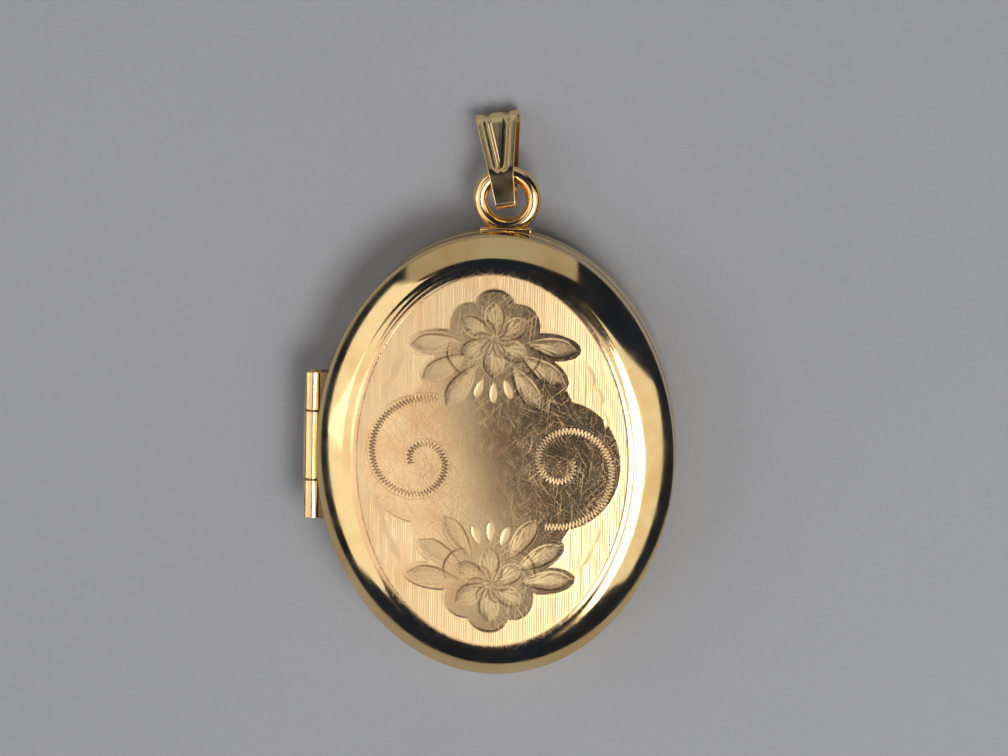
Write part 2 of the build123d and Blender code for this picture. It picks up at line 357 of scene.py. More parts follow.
def makePin():
    # headless wire with slightly domed ends
    dome = 0.06
    profile = [(0, -hinge["pinEnd"])]
    profile += [(hinge["pinRadius"] * math.sin(t), -hinge["pinEnd"] + dome * (1 - math.cos(t)))
                for t in (0.4, 0.8, 1.2, 1.57)]
    profile += [(radius, -y) for radius, y in reversed(profile)]
    around = 32
    points, faces, rings = [], [], []
    for radius, y in profile:
        rings.append(range(len(points), len(points) + (around if radius else 1)))
        for i in rings[-1]:
            turn = 2 * math.pi * (i - rings[-1][0]) / around
            out, up = radius * math.cos(turn), radius * math.sin(turn)
            points.append((hinge["axisX"] + out, y, hinge["axisZ"] + up))
    for low, high in zip(rings, rings[1:]):
        for i in range(around):
            j = (i + 1) % around
            corners = [low[i % len(low)], high[i % len(high)], high[j % len(high)], low[j % len(low)]]
            faces.append(list(dict.fromkeys(corners)))
    makePiece("hingePin", points, faces, gold["pinWire"], "back_half", ["hinge_pin"], "pin_wire")


makePin()
print("locket: hinge made")


def makeLoop():
    # round wire ring, filed flat where it stands on the foot
    around, across = 128, 40
    centreX, centreY, centreZ = loop["centre"]
    points, faces = [], []
    for i in range(around):
        turn = 2 * math.pi * i / around
        for j in range(across):
            tube = 2 * math.pi * j / across
            wire = loop["wireRadius"] * (1 + 0.008 * math.sin(3 * turn + 1.0))
            reach = loop["middleRadius"] + wire * math.cos(tube)
            x, y = centreX + reach * math.cos(turn), centreY + reach * math.sin(turn)
            points.append((x, max(y, loop["footTop"] - loop["filedDown"]), centreZ + wire * math.sin(tube)))
            a, b = i * across + j, i * across + (j + 1) % across
            c, d = ((i + 1) % around) * across + (j + 1) % across, ((i + 1) % around) * across + j
            faces.append((a, d, c, b))
    makePiece("topLoop", points, faces, gold["loopGold"], "back_half", ["bail_ring"], "loop_gold")


def roundedBox(low, high, ease, steps=5):
    # superellipse-cornered block
    middle = [(a + b) / 2 for a, b in zip(low, high)]
    half = [(b - a) / 2 for a, b in zip(low, high)]
    shape = bmesh.new()
    bmesh.ops.create_cube(shape, size=2.0)
    for vertex in shape.verts:
        vertex.co = Vector([m + h * c for m, h, c in zip(middle, half, vertex.co)])
    bmesh.ops.bevel(shape, geom=shape.edges[:], offset=ease, segments=steps, profile=0.5, affect="EDGES")
    shape.verts.index_update()
    points = [tuple(vertex.co) for vertex in shape.verts]
    faces = [[vertex.index for vertex in face.verts] for face in shape.faces]
    shape.free()
    return points, faces


makeLoop()
footShape = roundedBox((-1.5, 15.63, 1.93), (2.1, loop["footTop"], 3.07), 0.1)
makePiece("loopFoot", *footShape, gold["loopGold"], "back_half", ["ring_foot"], "loop_gold")
print("locket: loop and foot made")

# The bail: one strip folded round on itself, wide at the top and drawn to a tongue that
# passes over the loop's wire. Local axes: the wire at the origin along X, the bail along +Y.
bailShape = {
    "sheet": 0.32,
    "topY": 3.4, "topRadius": 1.0, "topWidth": 3.05,
    "eyeRadius": 1.22, "eyeWidth": 1.8,
    "tipY": -2.09, "tipRadius": 0.46, "tipWidth": 1.4,
    "lean": 10.0,
    "restGap": 0.03,
    "fluteDepth": 0.21,
    "fluteWidth": 0.21,
    "fluteTop": 0.68,
    "fluteFoot": 0.2,
    "fluteEnd": -0.15,
    "edgeEase": 0.07,
    "across": 48,
}


def bailPath(inset):
    # points and outward directions round the side outline, from the tip up the front and down the back
    s = bailShape
    upperLean = math.asin((s["eyeRadius"] - s["topRadius"]) / s["topY"])
    lowerLean = math.asin((s["eyeRadius"] - s["tipRadius"]) / -s["tipY"])
    arcs = [
        (s["tipY"], s["tipRadius"], -math.pi / 2, -lowerLean, 10, 14),
        (0.0, s["eyeRadius"], -lowerLean, upperLean, 8, 26),
        (s["topY"], s["topRadius"], upperLean, math.pi / 2, 12, 0),
    ]
    front = []
    for centre, radius, start, stop, count, run in arcs:
        for k in range(count + 1):
            turn = start + (stop - start) * k / count
            reach = radius - inset
            front.append((centre + reach * math.sin(turn), reach * math.cos(turn), turn))
        if run:
            nextArc = arcs[arcs.index((centre, radius, start, stop, count, run)) + 1]
            y1, z1, turn = front[-1]
            reach = nextArc[1] - inset
            y2, z2 = nextArc[0] + reach * math.sin(turn), reach * math.cos(turn)
            front += [(y1 + (y2 - y1) * k / run, z1 + (z2 - z1) * k / run, turn) for k in range(1, run)]
    back = [(y, -z, math.pi - turn) for y, z, turn in reversed(front[1:-1])]
    return front, front + back


def bailHalfWidth(y):
    s = bailShape
    top, tip = s["topY"] + s["topRadius"], s["tipY"] - s["tipRadius"]
    if y > 0:
        return (s["eyeWidth"] + (s["topWidth"] - s["eyeWidth"]) * y / top) / 2
    return (s["eyeWidth"] + (s["tipWidth"] - s["eyeWidth"]) * y / tip) / 2


def fluteDip(x, y, turn):
    # three ridges run down the front and meet in a point above the tongue
    s = bailShape
    if math.cos(turn) < 0.12 or y < s["fluteEnd"] - 0.2:
        return 0.0
    rise = max(0.0, min(1.0, (y - s["fluteEnd"]) / (s["topY"] - s["fluteEnd"])))
    line = s["fluteFoot"] + (s["fluteTop"] - s["fluteFoot"]) * rise
    start = max(0.0, min(1.0, (y - s["fluteEnd"] + 0.2) / 0.5))
    fade = start * min(1.0, math.cos(turn) * 3)
    groove = math.exp(-(((abs(x) - line) / s["fluteWidth"]) ** 2))
    return s["fluteDepth"] * fade * groove


def makeBail():
    s = bailShape
    front, outer = bailPath(0.0)
    inner = bailPath(s["sheet"])[1]
    across = s["across"]
    points, faces = [], []
    for y, z, turn in outer:
        half = bailHalfWidth(y)
        for k in range(across + 1):
            x = half * math.sin(math.pi / 2 * (2 * k / across - 1))
            edge = max(0.0, abs(x) - half + s["edgeEase"]) / s["edgeEase"]
            dip = fluteDip(x, y, turn) + s["edgeEase"] * (1 - math.sqrt(max(0.0, 1 - edge**2)))
            points.append((x, y - dip * math.sin(turn), z - dip * math.cos(turn)))
    firstInner = len(points)
    for (y, z, turn), (outerY, _, _) in zip(inner, outer):
        half = bailHalfWidth(outerY)
        for k in (-1, 1):
            points.append((k * half, y, z))
    count, row = len(outer), across + 1
    for i in range(count):
        j = (i + 1) % count
        for k in range(across):
            faces.append((i * row + k, i * row + k + 1, j * row + k + 1, j * row + k))
        a, b = firstInner + 2 * i, firstInner + 2 * j
        faces.append((a, b, b + 1, a + 1))
        faces.append((i * row, j * row, b, a))
        faces.append((i * row + across, a + 1, b + 1, j * row + across))
    drop = loop["centre"][2] - s["topRadius"] - s["restGap"]
    tilt = math.asin(drop / s["topY"])
    place = (
        Matrix.Translation(loop["centre"])
        @ Matrix.Rotation(math.radians(s["lean"]), 4, "Z")
        @ Matrix.Translation((0, loop["middleRadius"], 0))
        @ Matrix.Rotation(-tilt, 4, "X")
    )
    placed = [tuple(place @ Vector(point)) for point in points]
    makePiece("flutedBail", placed, faces, gold["bailGold"], "bail", ["bail"], "bail_gold", crease=40)


makeBail()
print("locket: bail folded")


# The engraved panel. Everything is laid out in millimetres from the panel's middle, x to the
# right and y towards the bail, and is cut into a fine grid.
panelCut = {
    "gridX": 268,
    "gridY": 348,
    "skirt": 0.12,
    "borderInset": 0.5,
    "borderWidth": 0.07,
    "borderDepth": 0.02,
    "edgeSoft": 0.07,  # how gradually one finish passes into the next
    "groundDrop": 0.012,  # the ruled ground lies this far below the polished field
    "scoopDepth": 0.018,
    "scoopWall": 0.16,
    "veinWidth": 0.15,
    "outlineWidth": 0.16,
    "petalWall": 0.4,
    "petalFrost": 0.5,
    "petalDepth": 0.01,
    "petalLine": 0.13,
    "lineDepth": 0.14,  # depth of a fine cut as a share of its half width
    "scrollWidth": 0.40,
    "frost": 0.45, "frostReach": 3.0,  # soft frosting round each flower
}

# The engraved design is a plain wreath worked out from these values. Its top half is laid out,
# then copied turned half round. Turns are in degrees, anticlockwise from the right.
wreath = {
    "flowerUp": 8.8, "petals": 6, "petalLength": 2.7, "petalWidth": 1.3,
    "innerLength": 1.5, "innerWidth": 0.8, "innerTurn": 120,
    "petalPatch": 1.6, "patchAlong": 0.7,  # radius of the polished patch behind a petal, and its share along it
    "ringHalf": 55,  # the painted shade line round a patch runs this far to each side
    "leaves": 3, "leafRoot": 2.2, "leafFirst": 96, "leafStep": 25, "leafLength": 3.6, "leafWidth": 1.25,
    "leafBorder": 0.35,  # polished metal left round a leaf
    "middlePatch": (6.6, 8.6), "scrollPatch": (4.1, 4.6),
    "scrollOut": 5.0, "scrollRadius": 4.6, "scrollStart": 75,
    "dropRow": (8.2, 11.2), "dropFirst": 36, "dropStep": 9, "dropLength": 1.9, "dropWidth": 0.55,
    "dropShrink": 0.85, "dropBend": 0.15, "dropsRight": 3, "dropsLeft": 2,
    "budUp": 5.0, "budStep": 1.0, "budRise": 0.3, "budTurn": 20, "budLength": 1.5, "budWidth": 0.5,
}
scrollShape = {"inner": 0.7, "sweep": 495, "tighten": 1.6, "knots": 26}
veinFan = {"count": 3, "petalSpread": 26, "leafSpread": 16, "curl": 9, "reach": 0.75, "root": 0.5}


def outFrom(x, y, heading, distance):
    turn = math.radians(heading)
    return x + distance * math.cos(turn), y + distance * math.sin(turn)


def bothHalves(rows, headingAt):
    # each row and its copy turned half round, headingAt is where the row holds its heading
    turned = [list(row) for row in rows]
    for row in turned:
        row[0], row[1], row[headingAt] = -row[0], -row[1], row[headingAt] + 180
    return rows + [tuple(row) for row in turned]


def layOutWreath():
    w, v = wreath, veinFan
    top = w["flowerUp"]
    # a patch is its middle x and y, half length, half width and turn
    patches, leaves, fans, drops = [(-w["scrollOut"], 0, *w["scrollPatch"], 0)], [], [], []
    ringed = []  # patches with a fine line of painted shade round their outer side
    for k in range(w["petals"]):
        turn = 90 + 360 * k / w["petals"]
        size = w["petalPatch"]
        patches.append((*outFrom(0, top, turn, w["petalLength"] * w["patchAlong"]), size, size, turn))
        fans.append((*outFrom(0, top, turn, v["root"]), turn, v["petalSpread"], v["count"],
                     w["petalLength"] * v["reach"], v["curl"]))
        if k % 2 == 0:
            ringed.append(patches[-1])
    for side, rowCount in ((1, w["dropsRight"]), (-1, w["dropsLeft"])):
        for k in range(w["leaves"]):
            heading = 90 - side * (w["leafFirst"] + k * w["leafStep"])
            root = outFrom(0, top, heading, w["leafRoot"])
            middle = outFrom(*root, heading, w["leafLength"] / 2)
            leaves.append((*root, heading, w["leafLength"], w["leafWidth"]))
            fans.append((*root, heading, v["leafSpread"], v["count"], w["leafLength"] * v["reach"],
                         -v["curl"] * side))
            patches.append((*middle, w["leafLength"] / 2 + w["leafBorder"],
                            w["leafWidth"] / 2 + w["leafBorder"], heading))
        # a row of drops follows the border and gets smaller
        for k in range(rowCount):
            turn = math.radians(w["dropFirst"] - k * w["dropStep"])
            acrossRow, upRow = w["dropRow"]
            x, y = acrossRow * math.cos(turn), upRow * math.sin(turn)
            heading = math.degrees(math.atan2(-upRow * math.cos(turn), acrossRow * math.sin(turn)))
            if side < 0:
                heading = 180 - heading
            shrink = w["dropShrink"] ** k
            drops.append((x * side, y, heading, w["dropLength"] * shrink, w["dropWidth"] * shrink,
                          w["dropBend"] * side))
    for k in (-1, 0, 1):
        drops.append((k * w["budStep"], w["budUp"] + w["budRise"] * abs(k), 270 + k * w["budTurn"],
                      w["budLength"], w["budWidth"], 0))
    flowers = [(0, top, w["petals"], w["innerLength"], w["innerWidth"], w["innerTurn"]),
               (0, top, w["petals"], w["petalLength"], w["petalWidth"], 90)]
    scrolls = [
        {"middle": (side * w["scrollOut"], 0), "outer": w["scrollRadius"],
         "start": w["scrollStart"] + turned, "paintedShade": paintedShade}
        # the left scroll's teeth get painted shade, the right scroll's stay matt and light
        for side, turned, paintedShade in ((-1, 0, 1.0), (1, 180, 0.0))
    ]
    return {
        "patches": [(0, 0, *w["middlePatch"], 0)] + bothHalves(patches, 4), "ringed": bothHalves(ringed, 4),
        "flowers": bothHalves(flowers, 5), "leaves": bothHalves(leaves, 2), "fans": bothHalves(fans, 2),
        "drops": bothHalves(drops, 2), "scrolls": scrolls,
    }


design = layOutWreath()
farAway = 9.0  # stands for nowhere near a cut, in millimetres


def smoothLine(knots, step=0.05):
    # a smooth line through the knots, as points about one step apart
    knots = [np.array(k, float) for k in knots]
    ends = [2 * knots[0] - knots[1]] + knots + [2 * knots[-1] - knots[-2]]
    points = []
    for a, b, c, d in zip(ends, ends[1:], ends[2:], ends[3:]):
        count = max(2, int(np.linalg.norm(c - b) / step))
        for t in np.linspace(0, 1, count, endpoint=False):
            bend = (2 * a - 5 * b + 4 * c - d) * t**2 + (3 * b - a - 3 * c + d) * t**3
            points.append(0.5 * (2 * b + (c - a) * t + bend))
    points.append(knots[-1])
    return np.array(points)


def startGrid():
    # a square grid bent into the panel's oval, with the layers that the cuts fill in
    across = np.linspace(-1, 1, panelCut["gridX"] + 1)
    up = np.linspace(-1, 1, panelCut["gridY"] + 1)
    gridU, gridV = np.meshgrid(across, up)
    grid = {
        "x": gridU * np.sqrt(1 - gridV**2 / 2) * case["panelHalfWidth"],
        "y": gridV * np.sqrt(1 - gridU**2 / 2) * case["panelHalfHeight"],
    }
    for layer in ("depth", "polish", "bright", "paintedShade", "cutRun", "cutTone"):
        grid[layer] = np.zeros_like(grid["x"])
    grid["cutSide"] = np.full_like(grid["x"], farAway)
    return grid


def spotsNear(grid, line, reach):
    low, high = line.min(axis=0) - reach, line.max(axis=0) + reach
    x, y = grid["x"], grid["y"]
    return np.nonzero((x > low[0]) & (x < high[0]) & (y > low[1]) & (y < high[1]))


def measureLine(grid, line, reach):
    # for every grid point near the line: distance, side, length along, whole length
    spots = spotsNear(grid, line, reach)
    places = np.stack([grid["x"][spots], grid["y"][spots]], axis=1)
    gaps = places[:, None, :] - line[None, :, :]
    distance = np.hypot(gaps[..., 0], gaps[..., 1])
    closest = distance.argmin(axis=1)
    lengths = np.concatenate([[0], np.cumsum(np.hypot(*np.diff(line, axis=0).T))])
    heading = np.gradient(line, axis=0)
    heading /= np.maximum(np.hypot(heading[:, 0], heading[:, 1]), 1e-9)[:, None]
    each = np.arange(len(closest))
    gap, head = gaps[each, closest], heading[closest]
    side = head[:, 0] * gap[:, 1] - head[:, 1] * gap[:, 0]
    run = lengths[closest] + (head * gap).sum(axis=1)
    return spots, distance[each, closest], side, run, lengths[-1]


def raiseLayer(grid, layer, spots, values):
    grid[layer][spots] = np.maximum(grid[layer][spots], values)


def cutLine(grid, knots, width, layer, fullAt=0.5):
    # one graver cut: thin at the start, full width at fullAt, thin again at the end
    spots, near, side, run, total = measureLine(grid, smoothLine(knots), width)
    share = np.clip(run / total, 0, 1)
    rise = np.sin(np.clip(share / fullAt, 0, 1) * math.pi / 2)
    fall = np.cos(np.clip((share - fullAt) / (1 - fullAt), 0, 1) * math.pi / 2)
    half = np.maximum(np.minimum(rise, fall) * width / 2, 0.03)
    fill = np.clip((half - near) / panelCut["edgeSoft"] + 0.5, 0, 1)
    raiseLayer(grid, layer, spots, fill)
    raiseLayer(grid, "depth", spots, np.clip(half - near, 0, 1) * panelCut["lineDepth"])


def rockScroll(grid, knots, tone):
    # the finish draws the teeth from how far along and across the cut a point lies
    width = panelCut["scrollWidth"]
    spots, near, side, run, total = measureLine(grid, smoothLine(knots), width)
    scaled = side / width * 2
    inside = (run > 0) & (run < total) & (np.abs(scaled) < np.abs(grid["cutSide"][spots])) & (near < width)
    kept = (spots[0][inside], spots[1][inside])
    grid["cutRun"][kept] = run[inside]
    grid["cutSide"][kept] = scaled[inside]
    grid["cutTone"][kept] = tone


def edgeDistance(grid, outline, spots):
    # distance to a closed outline, above zero inside it
    x, y = grid["x"][spots], grid["y"][spots]
    distance, inside = np.full(x.shape, farAway), np.zeros(x.shape, bool)
    for (ax, ay), (bx, by) in zip(outline, np.roll(outline, -1, axis=0)):
        runX, runY = bx - ax, by - ay
        if runX == 0 and runY == 0:
            continue
        share = np.clip(((x - ax) * runX + (y - ay) * runY) / (runX**2 + runY**2), 0, 1)
        distance = np.minimum(distance, np.hypot(x - ax - share * runX, y - ay - share * runY))
        if runY:
            inside ^= ((ay > y) != (by > y)) & (x < ax + (y - ay) * runX / runY)
    return np.where(inside, distance, -distance)


def scoopOut(grid, outline):
    closed = smoothLine(outline + outline[:1], 0.12)
    spots = spotsNear(grid, closed, panelCut["edgeSoft"])
    distance = edgeDistance(grid, closed, spots)
    raiseLayer(grid, "bright", spots, np.clip(distance / panelCut["edgeSoft"] + 0.5, 0, 1))
    bowl = np.clip(distance / panelCut["scoopWall"], 0, 1) * panelCut["scoopDepth"]
    raiseLayer(grid, "depth", spots, bowl)


def fanLines(rootX, rootY, heading, spread, count, length, curl):
    # cuts that leave one root side by side and curl the same way, the middle ones longest
    lines = []
    for k in range(count):
        share = 2 * k / (count - 1) - 1
        turn = math.radians(heading + share * spread / 2)
        reach = length * (1 - 0.16 * share**2)
        line = []
        for along in np.linspace(0.16, 1, 5):
            bent = turn + math.radians(curl) * along
            line.append((rootX + reach * along * math.cos(bent), rootY + reach * along * math.sin(bent)))
        lines.append(line)
    return lines


def dropOutline(x, y, heading, length, width, bend):
    # a lens, fuller towards its end and bowed to one side
    turn, outline = math.radians(heading), []
    for side in (1, -1):
        for along in np.linspace(-1, 1, 7)[:-1] * side:
            across = side * width / 2 * (1 - along**2) ** 0.8 * (1 + 0.35 * along) + bend * (1 - along**2)
            run = along * length / 2
            outline.append((x + run * math.cos(turn) - across * math.sin(turn),
                            y + run * math.sin(turn) + across * math.cos(turn)))
    return outline


def stampPetal(grid, rootX, rootY, heading, length, width):
    # softly frosted and slightly hollow, with a line of painted shade along one edge and a bright matt cut
    # along the other
    s, turn = panelCut, math.radians(heading)
    middleX, middleY = rootX + length / 2 * math.cos(turn), rootY + length / 2 * math.sin(turn)
    outline = dropOutline(middleX, middleY, heading, length, width, 0.0)
    closed = smoothLine(outline + outline[:1], 0.1)
    spots = spotsNear(grid, closed, s["edgeSoft"])
    inside = np.clip(edgeDistance(grid, closed, spots) / s["petalWall"], 0, 1)
    raiseLayer(grid, "bright", spots, inside * s["petalFrost"])
    raiseLayer(grid, "depth", spots, inside * s["petalDepth"])
    half = len(outline) // 2
    cutLine(grid, outline[: half + 1], s["petalLine"], "bright")
    cutLine(grid, outline[half:] + outline[:1], s["petalLine"], "paintedShade")


def scrollLine(scroll):
    # starts wide and rolls up towards its middle
    s, line = scrollShape, []
    middleX, middleY = scroll["middle"]
    for share in np.linspace(0, 1, s["knots"]):
        turn = math.radians(scroll["start"] + s["sweep"] * share)
        radius = s["inner"] + (scroll["outer"] - s["inner"]) * (1 - share) ** s["tighten"]
        line.append((middleX + radius * math.cos(turn), middleY + radius * math.sin(turn)))
    return line


def patchArc(patch, first, last):
    x, y, halfLong, halfWide, turn = patch
    turn, line = math.radians(turn), []
    for angle in np.radians(np.linspace(first, last, 7)):
        out, up = halfLong * math.cos(angle), halfWide * math.sin(angle)
        line.append((x + out * math.cos(turn) - up * math.sin(turn),
                     y + out * math.sin(turn) + up * math.cos(turn)))
    return line


def fieldDistance(grid):
    # roughly how far each point lies inside the joined patches, below zero outside them
    best = np.full_like(grid["x"], -farAway)
    for x, y, halfLong, halfWide, turn in design["patches"]:
        turn = math.radians(turn)
        awayX, awayY = grid["x"] - x, grid["y"] - y
        along = awayX * math.cos(turn) + awayY * math.sin(turn)
        across = awayY * math.cos(turn) - awayX * math.sin(turn)
        size = np.hypot(along / halfLong, across / halfWide)
        slope = np.hypot(along / halfLong**2, across / halfWide**2) / np.maximum(size, 1e-6)
        best = np.maximum(best, (1 - size) / np.maximum(slope, 1e-6))
    return best


def engrave():
    s = panelCut
    grid = startGrid()
    polish = np.clip(fieldDistance(grid) / s["edgeSoft"] + 0.5, 0, 1)
    # outside the border line the metal is polished again and rolls down to the shoulder
    halfX, halfY = case["panelHalfWidth"] - s["borderInset"], case["panelHalfHeight"] - s["borderInset"]
    away = np.hypot(grid["x"] / halfX, grid["y"] / halfY)
    slope = np.hypot(grid["x"] / halfX**2, grid["y"] / halfY**2) / np.maximum(away, 1e-6)
    border = (away - 1) / np.maximum(slope, 1e-6)
    polish = np.minimum(polish, np.clip(-border / s["edgeSoft"] + 0.5, 0, 1))
    grid["polish"] = np.maximum(polish, np.clip(border / s["edgeSoft"] + 0.5, 0, 1))
    grid["depth"] = (1 - grid["polish"]) * s["groundDrop"]
    line = np.clip(1 - np.abs(border) / s["borderWidth"], 0, 1)
    grid["depth"] = np.maximum(grid["depth"], line * s["borderDepth"])
    grid["bright"] = line * 0.8
    for up in (wreath["flowerUp"], -wreath["flowerUp"]):
        spread = np.exp(-(grid["x"] ** 2 + (grid["y"] - up) ** 2) / s["frostReach"] ** 2)
        grid["bright"] = np.maximum(grid["bright"], s["frost"] * spread)
    for scroll in design["scrolls"]:
        rockScroll(grid, scrollLine(scroll), scroll["paintedShade"])
    for x, y, count, length, width, turn in design["flowers"]:
        for k in range(count):
            stampPetal(grid, x, y, turn + 360 * k / count, length, width)
    for leaf in design["leaves"]:
        stampPetal(grid, *leaf)
    for drop in design["drops"]:
        scoopOut(grid, dropOutline(*drop))
    for fan in design["fans"]:
        for line in fanLines(*fan):
            cutLine(grid, line, s["veinWidth"], "bright")
    for patch in design["ringed"]:
        # a fine line of painted shade round the outer side of some patches
        cutLine(grid, patchArc(patch, -wreath["ringHalf"], wreath["ringHalf"]), s["outlineWidth"], "paintedShade")
    grid["depth"] += case["panelRoll"] * np.clip(border / s["borderInset"], 0, 1) ** 2
    return grid


def makePanel():
    grid = engrave()
    dome = (case["panelHalfWidth"] ** 2 + case["panelRise"] ** 2) / (2 * case["panelRise"])
    reach = np.hypot(grid["x"], grid["y"] * case["panelHalfWidth"] / case["panelHalfHeight"])
    height = case["depth"] - (dome - np.sqrt(dome**2 - reach**2)) - grid["depth"]
    rows, columns = height.shape
    points = np.stack([grid["x"], grid["y"], height], axis=-1).reshape(-1, 3)
    numbers = np.arange(rows * columns).reshape(rows, columns)
    corners = [numbers[:-1, :-1], numbers[:-1, 1:], numbers[1:, 1:], numbers[1:, :-1]]
    quads = np.stack(corners, axis=-1).reshape(-1, 4)
    rim = np.concatenate([numbers[0, :-1], numbers[:-1, -1], numbers[-1, :0:-1], numbers[:0:-1, 0]])
    lowered = points[rim] - np.array([0, 0, panelCut["skirt"]])
    first, around = len(points), np.arange(len(rim))
    skirt = np.stack([rim, first + around, first + np.roll(around, -1), np.roll(rim, -1)], axis=-1)
    panel = makePiece(
        "engravedPanel", np.concatenate([points, lowered]).tolist(), np.concatenate([quads, skirt]).tolist(),
        engravedMaterial(), "front_half", ["front_cover"], "engraved_gold", crease=60,
    )
    skirtValues = {"polish": 1, "bright": 0, "paintedShade": 0, "cutRun": 0, "cutSide": farAway, "cutTone": 0}
    for name, rest in skirtValues.items():
        layer = panel.data.attributes.new(name, "FLOAT", "POINT")
        layer.data.foreach_set("value", np.concatenate([grid[name].ravel(), np.full(len(rim), float(rest))]))


panelFinish = {
    "field": (0.95, 0.66, 0.34),
    "fieldRedder": (0.88, 0.55, 0.27),
    "ground": (0.97, 0.71, 0.38),
    "groundRedder": (0.94, 0.64, 0.32),
    # painted shade colour for the shadow-side lines and the left scroll's teeth
    "shadeBrown": (0.30, 0.17, 0.08),
    "fieldRough": 0.13,
    "scratchRough": 0.28,
    "groundRough": 0.33,
    "toothPitch": 0.25,
    "toothLine": 0.30,
    "toothDepth": 0.02,
    "toothFade": 2.6,  # how many line widths a tooth takes to fade out
    "toothReach": 1.2,  # how far past the cut's edges the teeth run, as a share of its half width
    "toothShade": 0.75,
    "ruling": 0.16,  # pitch of the ruled lines
    "rulingDepth": 0.0026,
    "rulingWander": 9.0,
    "scratchDepth": 0.0003,
    # turn in degrees, scratches per millimetre across and along, how much of the field they fill
    "scratchSets": [(6, 15.0, 0.5, 0.59), (-34, 14.0, 0.5, 0.60), (48, 15.0, 0.5, 0.60),
                    (-72, 16.0, 0.5, 0.62)],
}


def streaks(nodes, links, place, turn, across, along, cover):
    # thin scratches, all running one way
    lines = noise(nodes, links, place, 1.0, 1.0, (across, along, 1.0), turn)
    return ramp(nodes, links, lines, [(cover, 0.0), (cover + 0.09, 1.0)]), lines


def engravedMaterial():
    s = panelFinish
    material, nodes, links, shader, place = startMaterial("engravedGold panel")
    shader.inputs["Metallic"].default_value = 1.0

    def layer(name):
        node = nodes.new("ShaderNodeAttribute")
        node.attribute_name = name
        return node.outputs["Fac"]

    def blend(share, first, second):
        node = nodes.new("ShaderNodeMix")
        node.data_type = "RGBA"
        links.new(share, node.inputs["Factor"])
        for socket, value in ((node.inputs[6], first), (node.inputs[7], second)):
            if isinstance(value, tuple):
                socket.default_value = (*value, 1)
            else:
                links.new(value, socket)
        return node.outputs[2]

    def calc(operation, *values):
        return maths(nodes, links, operation, *values)

    polish, bright, paintedShade = layer("polish"), layer("bright"), layer("paintedShade")
    run, side, tone = layer("cutRun"), layer("cutSide"), layer("cutTone")
    # teeth of the scrolls: a zigzag between the two edges of the cut
    phase = calc("PINGPONG", run, s["toothPitch"] / 2)
    tooth = calc("MULTIPLY_ADD", phase, 4 / s["toothPitch"], -1.0)
    gap = calc("ABSOLUTE", calc("SUBTRACT", tooth, side))
    band = calc("LESS_THAN", calc("ABSOLUTE", side), s["toothReach"])
    fade = [(s["toothLine"], 1.0), (s["toothLine"] * s["toothFade"], 0.0)]
    teeth = calc("MULTIPLY", ramp(nodes, links, gap, fade), band)
    shadedTeeth = calc("MULTIPLY", teeth, tone)
    brightTeeth = calc("SUBTRACT", teeth, shadedTeeth)
    # the finish at each spot: matt where it is cut or ruled, polished elsewhere
    matt = calc("MAXIMUM", calc("MAXIMUM", bright, brightTeeth), calc("SUBTRACT", 1.0, polish))
    # painted shade: the shadow-side lines and the left scroll's teeth are blended towards dark brown
    shadeShare = calc("MAXIMUM", paintedShade, calc("MULTIPLY", shadedTeeth, s["toothShade"]))
    patch = noise(nodes, links, place, 0.3, 4.0)
    field = ramp(nodes, links, patch, [(0.36, s["fieldRedder"]), (0.6, s["field"])])
    ground = ramp(nodes, links, patch, [(0.36, s["groundRedder"]), (0.6, s["ground"])])
    links.new(blend(shadeShare, blend(matt, field, ground), s["shadeBrown"]), shader.inputs["Base Color"])
    sets = [streaks(nodes, links, place, *each) for each in s["scratchSets"]]
    scratched, grain = sets[0]
    for lines, raw in sets[1:]:
        scratched = calc("MAXIMUM", scratched, lines)
        grain = calc("ADD", grain, raw)
    wear = ramp(nodes, links, noise(nodes, links, place, 0.22, 3.0), [(0.35, 0.45), (0.6, 1.0)])
    scratched = calc("MULTIPLY", scratched, wear)
    fieldRough = calc("MULTIPLY_ADD", scratched, s["scratchRough"] - s["fieldRough"], s["fieldRough"])
    rough = nodes.new("ShaderNodeMix")
    links.new(matt, rough.inputs["Factor"])
    links.new(fieldRough, rough.inputs[2])
    rough.inputs[3].default_value = s["groundRough"]
    links.new(rough.outputs[0], shader.inputs["Roughness"])
    # ruled lines, a little uneven
    split = nodes.new("ShaderNodeSeparateXYZ")
    links.new(place, split.inputs[0])
    wander = noise(nodes, links, place, 1.0, 2.0, (2.4, 0.08, 1.0))
    ruled = calc("SINE", calc("MULTIPLY_ADD", split.outputs["X"], 2 * math.pi / s["ruling"],
                                calc("MULTIPLY", wander, s["rulingWander"])))
    ruled = calc("MULTIPLY", ruled, calc("SUBTRACT", 1.0, calc("MAXIMUM", polish, bright)))
    normal = bump(nodes, links, grain, s["scratchDepth"])
    normal = bump(nodes, links, ruled, s["rulingDepth"], under=normal)
    normal = bump(nodes, links, calc("MULTIPLY", teeth, -1.0), s["toothDepth"], under=normal)
    links.new(normal, shader.inputs["Normal"])
    return material


makePanel()
print("locket: panel engraved")


# What the case holds: loose frames, clear windows and blank cards keep their own shapes
cardFinish = {"colour": (0.70, 0.66, 0.56), "fleck": (0.60, 0.55, 0.45), "rough": 0.8, "tooth": 0.01}
# the windows are thin clear film, so most light passes straight through
windowFinish = {
    "colour": (0.96, 0.97, 0.95), "alpha": 0.16, "rough": 0.04, "smeared": 0.11, "scratch": 0.0006,
}


